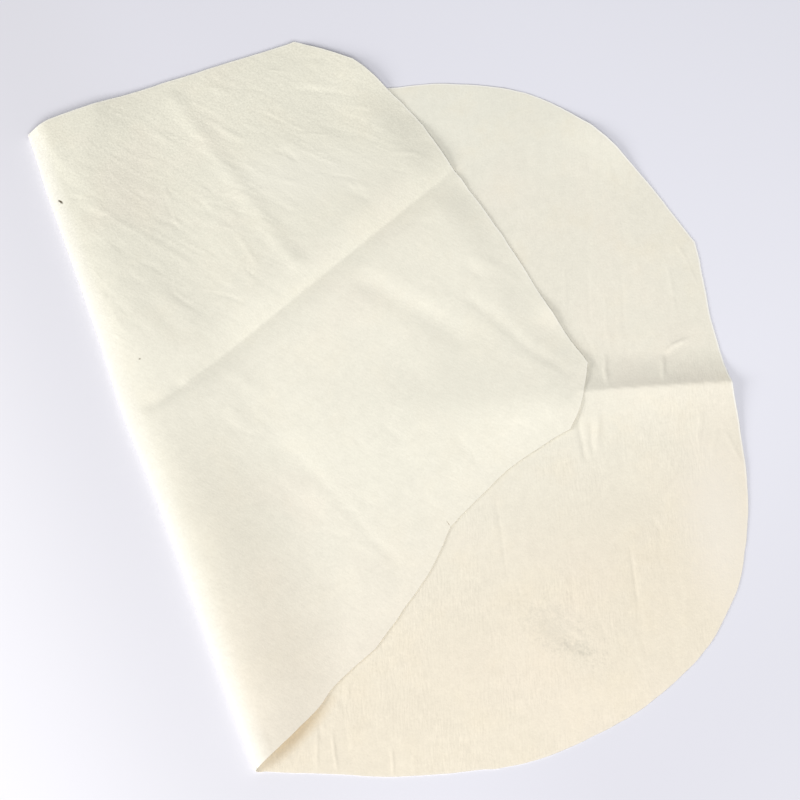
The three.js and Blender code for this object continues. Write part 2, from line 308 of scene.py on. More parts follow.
def sway(y):
    """How far the fold lies to the right of its straight line."""
    bulge = BULGE["depth"] * np.exp(-((y - BULGE["middle"]) / BULGE["reach"]) ** 2)
    ends = 0.0
    for low, high, depth in (ENDS_DRAWN_IN["far"], ENDS_DRAWN_IN["near"]):
        ends = ends + depth * smooth(y, low, high)
    return ENDS_DRAWN_IN["all"] + ends - bulge


SECTION_U, SECTION_X, SECTION_Z = fold_section()
OUTSIDE = int(np.argmin(SECTION_X))
BASE_START = float(np.interp(-FIRST_LINE - cad_box[0].x / MM, -SECTION_X[:OUTSIDE], SECTION_U[:OUTSIDE]))
FLAP_START = float(np.interp(LAST_LINE + cad_box[0].x / MM, SECTION_X[OUTSIDE:], SECTION_U[OUTSIDE:]))


def section(u, y=None):
    inside = np.clip(u, SECTION_U[0], SECTION_U[-1])
    x = np.interp(inside, SECTION_U, SECTION_X) + np.abs(u - inside)
    if y is not None:
        x = x + sway(y) * (1 - smooth(np.abs(u), *SWAY_FADES))
    z = np.interp(inside, SECTION_U, SECTION_Z)
    return x, z


def drawn_u(x, side):
    """The distance u of places on the frame's x. side is 1 on the flap and -1 on the base."""
    if side < 0:
        return SECTION_U[0] + SECTION_X[0] - x
    beyond = np.maximum(0.0, x - SECTION_X[-1])
    return np.interp(x, SECTION_X[OUTSIDE:], SECTION_U[OUTSIDE:]) + beyond


# Relief of the two halves over the table, as heights in millimetres

def along_and_across(x, y, crease):
    a = math.radians(crease["turn"])
    dx, dy = x - crease["start"][0], y - crease["start"][1]
    return dx * math.cos(a) + dy * math.sin(a), dy * math.cos(a) - dx * math.sin(a)


def falling(away, reach):
    return np.clip(1 - away / reach, 0, None) ** 2


def crest(x, y, form):
    """A ridge along the base's crease: steep on the far side, and with a long tail on the near side."""
    along, across = along_and_across(x, y, BASE_CREASE)
    across = across - form["offset"]
    away = np.hypot(across, form["rounding"]) - form["rounding"]
    far = falling(away, form["far"])
    near = 0.5 * (falling(away, form["near"]) + falling(away, form["tail"]))
    return form["height"] * smooth(along, *form["grows"]) * np.where(across > 0, far, near)


def valley(x, y):
    """How far the flap rises either side of its own crease, before it comes down again."""
    along, across = along_and_across(x, y, FLAP_CREASE)
    away = np.hypot(across, VALLEY["rounding"]) - VALLEY["rounding"]
    lift, bank = (np.where(across > 0, f, n) for f, n in zip(VALLEY["far"], VALLEY["near"]))
    rise = lift * (1 - falling(away, bank)) * np.exp(-(away / VALLEY["reach"]) ** 2)
    return smooth(along, *VALLEY["grows"]) * rise


def stroke(x, y, path, height, left, right):
    """A ridge or, with a negative height, a valley along a path, fading at both ends."""
    path = np.array(path, float)
    margin = STROKE_REACH * max(left, right)
    low, high = path.min(0) - margin, path.max(0) + margin
    near = (x > low[0]) & (x < high[0]) & (y > low[1]) & (y < high[1])
    result = np.zeros_like(x)
    if not near.any():
        return result
    px, py = x[near], y[near]
    lengths = np.hypot(*np.diff(path, axis=0).T)
    total, before = lengths.sum(), 0.0
    best = np.full(px.shape, 1e9)
    side = np.zeros_like(px)
    share = np.zeros_like(px)
    for (ax, ay), (bx, by), length in zip(path[:-1], path[1:], lengths):
        dx, dy = (bx - ax) / length, (by - ay) / length
        t = np.clip((px - ax) * dx + (py - ay) * dy, 0, length)
        away = np.hypot(px - ax - t * dx, py - ay - t * dy)
        closer = away < best
        best = np.where(closer, away, best)
        side = np.where(closer, (py - ay) * dx - (px - ax) * dy, side)
        share = np.where(closer, (before + t) / total, share)
        before += length
    width = np.where(side > 0, left, right)
    fade = min(STROKE_FADES["share"], STROKE_FADES["length"] / total)
    ends = smooth(share, 0, fade) * smooth(1 - share, 0, fade)
    result[near] = height * np.exp(-(best / width) ** 2) * ends
    return result


def creping(field, x, y, heading, length, width):
    """Fine parallel wrinkles, from -1 to 1, that run along a heading."""
    a = math.radians(heading)
    along, across = x * math.cos(a) + y * math.sin(a), y * math.cos(a) - x * math.sin(a)
    dx, dy = CREPING_STRAYS_PLACE
    strays = field(x + dx, y + dy, CREPING_STRAYS["cell"] * width)
    across = across + CREPING_STRAYS["depth"] * width * strays
    return 1 - 2 * np.abs(field(along * width / length, across, width))


def dent(x, y, centre, radius, height):
    return height * np.exp(-((x - centre[0]) ** 2 + (y - centre[1]) ** 2) / radius**2)


def scattered(count, corners, heading, length, height, width):
    """Short random wrinkles that start in a rectangle and run about one way."""
    strokes = []
    for _ in range(count):
        start = rng.uniform(*np.array(corners, float))
        angle = math.radians(heading + rng.normal(0, SCATTERED_TURN))
        step = rng.uniform(*SCATTERED_LENGTHS) * length / 2 * np.array([math.cos(angle), math.sin(angle)])
        bend = rng.normal(0, SCATTERED_BEND) * length * np.array([-math.sin(angle), math.cos(angle)])
        path = [start - step, start + bend, start + step]
        wide = width * rng.uniform(*SCATTERED_WIDTHS)
        strokes.append((path, height * rng.normal(0, 1), wide, wide))
    return strokes


FLAP_WRINKLES = FLAP_STROKES + [mark for group in FLAP_SCATTERED for mark in scattered(*group)]
BASE_WRINKLES = BASE_STROKES + [mark for group in BASE_SCATTERED for mark in scattered(*group)]
flap_field = random_field(SEEDS["flap"])
base_field = random_field(SEEDS["base"])


def base_relief(x, y):
    (broad, broad_cell), (small, small_cell) = BASE_WAVES
    height = broad * (1 + base_field(x, y, broad_cell))
    height += small * (1 + base_field(x + SMALL_WAVES_PLACE, y, small_cell))
    height *= smooth(base_edge_distance(drawn_u(x, -1), y), 0, BASE_FLAT_RIM)
    height += crest(x, y, RIDGE)
    height += BASE_CREPING_HEIGHT * creping(base_field, x, y, *BASE_CREPING)
    for mark in BASE_WRINKLES:
        height += stroke(x, y, *mark)
    for form in BASE_LIFTS:
        height += dent(x, y, *form)
    return higher(height, 0, TABLE_SOFTNESS)


def flap_relief(x, y, u):
    height = valley(x, y) + SETTLE["rise"] * smooth(u, SETTLE["start"], SETTLE["end"])
    (broad, broad_cell), (small, small_cell) = FLAP_WAVES
    height += broad * flap_field(x, y, broad_cell)
    height += small * flap_field(x + SMALL_WAVES_PLACE, y, small_cell)
    far_part = smooth(y - FAR_PART["slant"] * x, *FAR_PART["grows"])
    everywhere, added = FLAP_CREPING_HEIGHTS
    height += (everywhere + added * far_part) * creping(flap_field, x, y, *FLAP_CREPING)
    for mark in FLAP_WRINKLES:
        height += stroke(x, y, *mark)
    for form in FLAP_DENTS:
        height += dent(x, y, *form)
    return height


def base_point(u, y):
    x, z = section(u, y)
    return np.stack([x, y, z + base_relief(x, y) * smooth(-u, *BASE_LEAVES_ROLL)], 1)


def flap_point(u, y):
    x, z = section(u, y)
    layers = THICKNESS + CLEARANCE + HALF
    level = z + flap_relief(x, y, u)
    ranges = zip(COMES_FREE["near"], COMES_FREE["far"])
    begins, ends, power = (np.where(y < 0, near, far) for near, far in ranges)
    free = smooth(u, begins, ends) ** power
    inside = smooth(flap_edge_distance(u, y), 0, EDGE_REACH)
    stands = smooth(y, *BESIDE_CREASE["rises"]) * (1 - smooth(y, *BESIDE_CREASE["falls"]))
    stands = BESIDE_CREASE["share"] * stands + smooth(y, *FAR_CORNER)
    hold = 1 - EDGE_SETTLES * free * (1 - inside) * (1 - stands)
    lying = layers + (level - layers) * hold
    lying += crest(x, y, HUMP) * (HUMP_AT_EDGE + (1 - HUMP_AT_EDGE) * inside)
    for form in FLAP_LIFTS:
        lying += dent(x, y, *form)
    lying = higher(lying, base_relief(x, y) + layers, FLAP_SOFTNESS)
    lying = -higher(-lying, -CEILING, CEILING_SOFTNESS)
    return np.stack([x, y, z + (lying - z) * smooth(u, *FLAP_LEAVES_ROLL)], 1)


def distance_field(cut, cell=3.0):
    """The distance to a cut edge anywhere on the opened skin, read from a grid."""
    low, high = cut.min(0) - 2 * cell, cut.max(0) + 3 * cell
    us, ys = (np.arange(a, b, cell) for a, b in zip(low, high))
    grid = np.array([np.hypot(cut[:, 0] - u, cut[:, 1] - ys[:, None]).min(1) for u in us])

    def value(u, y):
        s = np.clip((u - low[0]) / cell, 0, len(us) - 1.001)
        t = np.clip((y - low[1]) / cell, 0, len(ys) - 1.001)
        i, j = s.astype(int), t.astype(int)
        s, t = s - i, t - j
        return ((grid[i, j] * (1 - s) + grid[i + 1, j] * s) * (1 - t)
                + (grid[i, j + 1] * (1 - s) + grid[i + 1, j + 1] * s) * t)

    return value


# The cut edge on the opened skin

def spline(points, step):
    """A smooth curve through the points, in even steps of about the given length."""
    p = np.array(points, float)
    p = np.vstack([p[:1], p, p[-1:]])
    t = np.linspace(0, 1, CURVE_STEPS, endpoint=False)[:, None]
    curve = []
    for a, b, c, d in zip(p[:-3], p[1:-2], p[2:-1], p[3:]):
        v, w = (c - a) / 2, (d - b) / 2
        curve.append((2 * b - 2 * c + v + w) * t**3 + (3 * c - 3 * b - 2 * v - w) * t**2 + v * t + b)
    curve = np.vstack([*curve, p[-1:]])
    return resampled(curve, step)


def resampled(curve, step):
    length = np.concatenate([[0], np.cumsum(np.hypot(*np.diff(curve, axis=0).T))])
    even = np.linspace(0, length[-1], max(2, round(length[-1] / step) + 1))
    return np.stack([np.interp(even, length, curve[:, k]) for k in (0, 1)], 1)


def cut_edge(runs, width, side):
    """The runs of one half as points (u, y), from the far end of the fold to the near end."""
    scale = width / max(x for run in runs for x, _ in run)
    start = BASE_START if side < 0 else FLAP_START
    points = np.vstack([spline([(x * scale, y) for x, y in run], EDGE_SPACING)[:-1] for run in runs]
                       + [np.array([(0.0, runs[-1][-1][1])])])
    return np.stack([start + side * points[:, 0], points[:, 1]], 1)


def wander(points, seed):
    """Moves the inner points of an edge a little sideways, as a knife does."""
    noise = random_field(seed)
    far = np.concatenate([[0], np.cumsum(np.hypot(*np.diff(points, axis=0).T))])
    along = np.gradient(points, axis=0)
    along /= np.linalg.norm(along, axis=1)[:, None]
    still = np.zeros_like(far)
    strays = noise(far, still, WANDER_CELLS[0])
    strays += WANDER_SMALL * noise(far, still + WANDER_SMALL_PLACE, WANDER_CELLS[1])
    strays *= EDGE_WANDER * smooth(far, 0, WANDER_FADES) * smooth(far[-1] - far, 0, WANDER_FADES)
    return points + strays[:, None] * np.stack([-along[:, 1], along[:, 0]], 1)


BASE_CUT = cut_edge(BASE_EDGE, BASE_WIDTH, -1)
FLAP_CUT = cut_edge(FLAP_EDGE, FLAP_WIDTH, 1)
for cut in (BASE_CUT, FLAP_CUT):
    cut[:, 1] -= MIDDLE_Y
flap_edge_distance = distance_field(FLAP_CUT)
base_edge_distance = distance_field(BASE_CUT)


def on_fold(end, u):
    """The point where the roll's cut end crosses u. end is 0 at the far end and -1 at the near end."""
    share = (u - BASE_START) / (FLAP_START - BASE_START)
    return np.array([u, BASE_CUT[end, 1] * (1 - share) + FLAP_CUT[end, 1] * share])


def sheet_outline(cut, seed):
    """The closed outline of one sheet on the opened skin, with the seam as its last stretch."""
    far, near = on_fold(0, SEAM), on_fold(-1, SEAM)
    far_end = resampled(np.array([far, cut[0]]), FINE_SPACING)
    near_end = resampled(np.array([cut[-1], near]), FINE_SPACING)
    seam = resampled(np.array([near, far]), EDGE_SPACING)
    return np.vstack([far_end[:-1], wander(cut, seed)[:-1], near_end[:-1], seam[:-1]])


# Meshes

def columns(low, high, spacing):
    """Places across the skin: fine in the roll, and then at the full spacing."""
    places = [low]
    while places[-1] < high:
        away = max(0.0, FINE_ROLL[0] - places[-1], places[-1] - FINE_ROLL[1])
        places.append(places[-1] + min(spacing * COLUMN_RATIO, FINE_SPACING + away * COARSENING))
    return places[1:]


def wrinkle_rows(strokes, side):
    """Rows of points (u, y) along the narrow wrinkles of one half: on each line and beside it."""
    rows = []
    for path, _, left, right in strokes:
        if min(left, right) > CREASED:
            continue
        line = resampled(np.array(path, float), ROW_SPACING)
        along = unit(np.gradient(line, axis=0))
        normal = np.stack([-along[:, 1], along[:, 0]], 1)
        offsets = [0.0]
        for share in ROWS_BESIDE:
            offsets += [share * left, -share * right]
        for offset in offsets:
            rows.append(line + offset * normal)
    rows = np.vstack(rows)
    return np.stack([drawn_u(rows[:, 0], side), rows[:, 1]], 1)


def tree_of(points):
    tree = KDTree(len(points))
    for i, (u, y) in enumerate(points):
        tree.insert((u, y, 0), i)
    tree.balance()
    return tree


def inner_points(outline, spacing, rows):
    tree = tree_of(outline)
    u0, y0 = outline.T
    u1, y1 = np.roll(outline, -1, axis=0).T

    def stretches(u):
        crossing = (u0 <= u) != (u1 <= u)
        at = np.sort(y0[crossing] + (u - u0[crossing]) / (u1[crossing] - u0[crossing])
                     * (y1[crossing] - y0[crossing]))
        return list(zip(at[::2], at[1::2]))

    kept, taken = [], set()
    for u, y in rows:
        cell = (int(u // CELL), int(y // CELL))
        if cell in taken or not any(low < y < high for low, high in stretches(u)):
            continue
        if tree.find((u, y, 0))[2] > EDGE_CLEAR:
            kept.append((u, y))
            taken.add(cell)
    for k, u in enumerate(columns(u0.min(), u0.max(), spacing)):
        for low, high in stretches(u):
            first = math.ceil(low / spacing) + 0.5 * (k % 2)
            for y in np.arange(first * spacing, high, spacing):
                i, j = int(u // CELL), int(y // CELL)
                if any((i + a, j + b) in taken for a in (-1, 0, 1) for b in (-1, 0, 1)):
                    continue
                if tree.find((u, y, 0))[2] > EDGE_CLEAR:
                    kept.append((u, y))
    return np.array(kept)


def triangulated(outline, spacing, rows):
    points = np.vstack([outline, inner_points(outline, spacing, rows)])
    loop = list(range(len(outline)))
    flat, _, faces, *_ = delaunay_2d_cdt([Vector(p) for p in points], [], [loop], 1, 1e-6)
    flat = np.array([tuple(p) for p in flat])
    faces = np.array(faces)
    a, b, c = (flat[faces[:, k]] for k in range(3))
    turned = (b[:, 0] - a[:, 0]) * (c[:, 1] - a[:, 1]) - (b[:, 1] - a[:, 1]) * (c[:, 0] - a[:, 0]) < 0
    faces[turned] = faces[turned][:, ::-1]
    return flat, faces


def rim(faces):
    """The boundary of a triangulated sheet as one loop of vertices, anticlockwise."""
    edges = {(int(f[i]), int(f[(i + 1) % 3])) for f in faces for i in range(3)}
    following = {a: b for a, b in edges if (b, a) not in edges}
    loop = [next(iter(sorted(following)))]
    while following[loop[-1]] != loop[0]:
        loop.append(following[loop[-1]])
    return np.array(loop)


def unit(vectors):
    return vectors / np.linalg.norm(vectors, axis=1)[:, None]


def tangents(point, u, y, step=0.35):
    across = unit(point(u + step, y) - point(u - step, y))
    along = unit(point(u, y + step) - point(u, y - step))
    return across, along


def sheet(name, point, cut, strokes, seed):
    """A closed sheet of leather: two faces half a thickness either side of the skin, and its rim."""
    side = 1 if point is flap_point else -1
    flat, faces = triangulated(sheet_outline(cut, seed), SPACING[name], wrinkle_rows(strokes, side))
    u, y = flat.T
    middle = point(u, y)
    across, along = tangents(point, u, y)
    normal = unit(np.cross(across, along))
    loop = rim(faces)
    edge = flat[loop]
    ahead = np.roll(edge, -1, axis=0) - np.roll(edge, 1, axis=0)
    outward2 = unit(np.stack([ahead[:, 1], -ahead[:, 0]], 1))
    outward = unit(outward2[:, :1] * across[loop] + outward2[:, 1:] * along[loop])
    cut_rim = (np.abs(edge[:, 0] - SEAM) > SEAM_TOLERANCE)[:, None]
    ring = middle[loop] + outward * EDGE_BULGE * cut_rim

    count, size = len(flat), len(loop)
    tree = tree_of(edge[cut_rim[:, 0]])
    inset = np.array([tree.find((*place, 0))[2] for place in flat])
    pressed = HALF * (1 - EDGE_PRESSED * (1 - smooth(inset, 0, EDGE_PRESSED_REACH)))[:, None]
    outer, inner = (pressed, HALF) if side > 0 else (HALF, pressed)
    vertices = np.vstack([middle + normal * outer, middle - normal * inner, ring]) * MM
    here, after = np.arange(size), np.roll(np.arange(size), -1)
    upper = np.stack([loop[after], loop[here], 2 * count + here, 2 * count + after], 1)
    lower = np.stack([2 * count + after, 2 * count + here, count + loop[here], count + loop[after]], 1)
    polygons = [*faces.tolist(), *(faces[:, ::-1] + count).tolist(), *upper.tolist(), *lower.tolist()]
    mesh = bpy.data.meshes.new(name)
    mesh.from_pydata(vertices.tolist(), [], polygons)
    mesh.shade_smooth()

    edge_up = unit(EDGE_TILT * normal[loop] + outward)
    edge_down = unit(-EDGE_TILT * normal[loop] + outward)
    corner = [
        normal[faces].reshape(-1, 3),
        -normal[faces[:, ::-1]].reshape(-1, 3),
        np.stack([edge_up[after], edge_up[here], outward[here], outward[after]], 1).reshape(-1, 3),
        np.stack([outward[after], outward[here], edge_down[here], edge_down[after]], 1).reshape(-1, 3),
    ]
    mesh.normals_split_custom_set(np.vstack(corner).tolist())

    place = mesh.attributes.new("flat", "FLOAT_VECTOR", "POINT")
    face = np.concatenate([np.full(count, 1.0), np.full(count, -1.0), np.zeros(size)])
    drawn = np.vstack([flat, flat, edge]) * MM
    place.data.foreach_set("vector", np.column_stack([drawn, face * FACE_OFFSET]).ravel())
    distance = mesh.attributes.new("inset", "FLOAT", "POINT")
    distance.data.foreach_set("value", np.concatenate([inset, inset, np.zeros(size)]) * MM)
    lay_out(mesh, flat, faces, edge)

    piece = bpy.data.objects.new(name, mesh)
    bpy.context.scene.collection.objects.link(piece)
    a, b, c = (flat[faces[:, k]] for k in range(3))
    area = 0.5 * np.abs(np.cross(b - a, c - a)).sum() * MM**2
    return piece, np.ptp(flat, axis=0) * MM, area


def lay_out(mesh, flat, faces, edge):
    """A map for baking: the two faces side by side, and the rim in rows above them."""
    low, size = flat.min(0), np.ptp(flat, axis=0)
    scale = ((np.array(MAP_FACE) - 2 * MAP_MARGIN) / size).min()
    face = (flat - low) * scale + MAP_MARGIN
    back = face + np.array([MAP_FACE[0], 0])
    length = np.hypot(*(np.roll(edge, -1, axis=0) - edge).T) * scale
    start = np.concatenate([[0], np.cumsum(length)[:-1]])
    row = np.floor(start / RIM_LENGTH)
    x0 = MAP_MARGIN + start - row * RIM_LENGTH
    x1 = x0 + length
    y0 = size[1] * scale + 2 * MAP_MARGIN + row * 2 * RIM_ROW
    y1, y2 = y0 + RIM_ROW / 2, y0 + RIM_ROW

    def quads(low, high):
        return np.stack([x1, low, x0, low, x0, high, x1, high], 1).reshape(-1, 2)

    corners = [face[faces].reshape(-1, 2), back[faces[:, ::-1]].reshape(-1, 2),
               quads(y0, y1), quads(y1, y2)]
    layer = mesh.uv_layers.new(name="OFBake")
    layer.data.foreach_set("uv", np.vstack(corners).astype(np.float32).ravel())


# Materials

# Each face at its far end, at the middle and at its near end, where it is warmer
FLAP_FACE = [(0.834, 0.816, 0.704), (0.872, 0.848, 0.742), (0.852, 0.796, 0.692)]
BASE_FACE = [(0.868, 0.856, 0.756), (0.862, 0.834, 0.730), (0.848, 0.782, 0.654)]
TAN = (0.800, 0.700, 0.520)
PINK = (0.930, 0.820, 0.720)
PAINTED_SHADE = (0.700, 0.640, 0.530)  # painted shade on the flap beside the fold, in its near half
FOLD_HIGHLIGHT = (0.890, 0.872, 0.795)  # painted highlight along the fold's outside
PALE_RIM = (0.965, 0.958, 0.930)  # a pale rim on the face along the cut edge
CUT_WALL_AND_SHADE = (0.720, 0.675, 0.550)  # the cut wall: its own colour, darkened and warmed as painted shade of the gap along the edge
# The floor at places across it, from left to right, with painted light: brighter at the left and darker
# in painted shade beside the fold; and how much darker, in painted shade, it is towards the near right
FLOOR_PAINTED_LIGHT = [(-0.37, (0.905, 0.905, 0.968)), (-0.205, (0.778, 0.779, 0.848)), (-0.08, (0.806, 0.809, 0.892)),
         (0.22, (0.842, 0.850, 0.940))]
FLOOR_NEAR_RIGHT_SHADE = 0.91
FLOOR_PAINTED_SHADE = {"toward": (0.25, -0.97, 0), "grows": (0.12, 0.34), "right_of": (-0.2, 0.0)}

# Marks on the skin: centre (x, y) in the frame, half sizes, turn in degrees, side of the skin, colour,
# strength, and how far its edge is torn. The first three are painted light and shade of the flap's lie.
# Then come the slit, the pin mark and the nick on the flap, two smudges and a pale patch on the base,
# and painted warm shade, with the leather's reflected warmth, under the flap's near edge on the base.
MARKS = [
    # painted light on the flap
    ((-32, 161), (90, 40), -20, 1, (0.905, 0.885, 0.785), 0.6, 0.2),
    # painted shade on the flap, here and in the next mark
    ((2, 250), (46, 22), -20, 1, (0.780, 0.765, 0.660), 0.4, 0.2),
    ((5, -33), (54, 78), -20, 1, (0.800, 0.780, 0.680), 0.45, 0.2),
    ((-201.5, 205.3), (3.4, 1.1), -65, 1, (0.10, 0.08, 0.05), 1.0, 0.6),
    ((-186.4, 64.5), (1.0, 0.9), 0, 1, (0.25, 0.22, 0.16), 0.8, 0.6),
    ((-38.7, -121.2), (3.4, 0.4), -78, 1, (0.35, 0.27, 0.18), 0.7, 0.6),
    ((-1, -214), (33, 17), -55, -1, (0.60, 0.58, 0.50), 0.22, 0.9),
    ((5, -227), (17, 5.5), -48, -1, (0.50, 0.49, 0.42), 0.17, 0.9),
    ((125, -190), (80, 36), 71, -1, (0.89, 0.85, 0.78), 0.5, 0.2),
    # painted warm shade and reflected warmth under the flap's near edge
    ((-178, -207), (42, 9), 22, -1, (0.72, 0.54, 0.30), 0.5, 0.1),
]
MARK_FADES = (1.0, 0.1)  # from its edge to its middle

# Random fields of the leather: scale, detail, roughness
CLOUDS = (7, 3, 0.5)
PATCHES = (34, 4, 0.6)
MOTTLE = (190, 3, 0.6)
GRAIN = (560, 2, 0.6)
NAP = (1250, 2, 0.65)
BLUSH = (11, 3, 0.55)
UNEVEN = (17, 3, 0.6)
BLUSH_PLACE, UNEVEN_PLACE = (0.3, 0.2, 0), (0.7, 0.1, 0)
# Fine creping, up and down the base and across the flap: turn in degrees, stretch, random field
CREPE = [(113, 5, (760, 2, 0.55)), (-54, 4, (420, 2, 0.55))]
FIELD_SPAN = (0.2, 0.8)  # nearly all values of a random field
# Values of a field over which something sets in, and its strength there
CLOUDS_TONE = (0.25, 0.75, 0.98, 1.02)
BLUSH_STRENGTH = (0.48, 0.72, 0.0, 0.16)
UNEVEN_STRENGTH = (0.40, 0.62, 0.15, 1.0)
TAN_PATCHES = (0.45, 0.75)
# Strengths on the base and on the flap
TAN_STRENGTHS = (0.16, 0.08)
STREAK_STRENGTHS = (0.06, 0.012)
CREPE_BUMPS = (0.4, 0.15)
# Strengths where the grain is fine, and in the flap's coarse far part
SPECKLE_STRENGTHS = (0.055, 0.15)
GRAIN_BUMPS = (0.25, 0.6)
NAP_BUMP = 0.25
BUMP_DEPTHS = {"crepe": 0.0005, "grain": 0.0004, "nap": 0.0002}
PATCHES_TONE, MOTTLE_TONE = 0.025, 0.035
BETWEEN_FACES = (-0.02, 0.02)  # where the third texture coordinate goes from the base's look to the flap's
# Zones of the skin in metres: where along u or y a look sets in, with its strengths there if they are
# not 0 and 1
COARSE_Y = (0.06, 0.26)
TO_MIDDLE_Y, TO_NEAR_Y = (0.20, 0.02), (-0.06, -0.22)
UNEVEN_Y = (0.02, -0.14, 0.3, 1.0)
FOLD_HIGHLIGHT_U = [(0.019, 0.005), (-0.002, 0.004)]
PAINTED_SHADE_U = [(0.010, 0.024), (0.095, 0.045)]
PAINTED_SHADE_Y = [(0.04, -0.08, 0.0, 0.30), (-0.235, -0.165)]
PALE_RIM_Y = [(-0.22, -0.10, 0.1, 0.85), (-0.12, 0.06, 0.05, 0.4)]  # base, flap
PALE_RIM_INSET = (0.0017, 0.0003)  # distances from the cut edge
WALL_SHARE = 0.9  # of the way from the cut wall's middle to a face


class Nodes:
    """Short calls for the nodes of one material."""

    def __init__(self, name):
        self.material = bpy.data.materials.new(name)
        self.material.use_nodes = True
        self.tree = self.material.node_tree
        self.shader = self.tree.nodes["Principled BSDF"]

    def add(self, kind, settings=None, **inputs):
        made = self.tree.nodes.new(kind)
        for key, value in (settings or {}).items():
            setattr(made, key, value)
        for key, value in inputs.items():
            self.set(made.inputs[int(key[1:])] if key[1:].isdigit() else made.inputs[key], value)
        return made

    def set(self, socket, value):
        if isinstance(value, bpy.types.NodeSocket):
            self.tree.links.new(value, socket)
        else:
            socket.default_value = value

    def noise(self, vector, scale, detail, roughness):
        made = self.add("ShaderNodeTexNoise", Vector=vector, Scale=scale, Detail=detail,
                        Roughness=roughness)
        return made.outputs["Fac"]

    def math(self, operation, a, b):
        return self.add("ShaderNodeMath", {"operation": operation}, i0=a, i1=b).outputs[0]

    def product(self, first, *others):
        for other in others:
            first = self.math("MULTIPLY", first, other)
        return first

    def ramp(self, value, low, high, to_low=0.0, to_high=1.0, kind="SMOOTHSTEP"):
        made = self.add("ShaderNodeMapRange", {"interpolation_type": kind}, i0=value, i1=low, i2=high,
                        i3=to_low, i4=to_high)
        return made.outputs[0]

    def spread(self, field, low, high):
        """A random field, carried to values from low to high."""
        return self.ramp(field, *FIELD_SPAN, low, high, "LINEAR")

    def mix(self, factor, a, b, blend="MIX"):
        settings = {"data_type": "RGBA", "blend_type": blend}
        return self.add("ShaderNodeMix", settings, i0=factor, i6=a, i7=b).outputs[2]

    def dimmed(self, colour, tone):
        grey = self.add("ShaderNodeCombineColor", i0=tone, i1=tone, i2=tone).outputs[0]
        return self.mix(1.0, colour, grey, "MULTIPLY")

    def float_mix(self, factor, a, b):
        return self.add("ShaderNodeMix", {"data_type": "FLOAT"}, i0=factor, i2=a, i3=b).outputs[0]

    def mapped(self, vector, location=(0, 0, 0), turn=0.0, scale=(1, 1, 1)):
        made = self.add("ShaderNodeMapping", {"vector_type": "TEXTURE"}, Vector=vector, Location=location,
                        Rotation=(0, 0, math.radians(turn)), Scale=scale)
        return made.outputs[0]

    def bump(self, strength, depth, height, **below):
        made = self.add("ShaderNodeBump", Strength=strength, Distance=depth, Height=height, **below)
        return made.outputs[0]


def rgba(colour):
    return (*colour, 1.0)


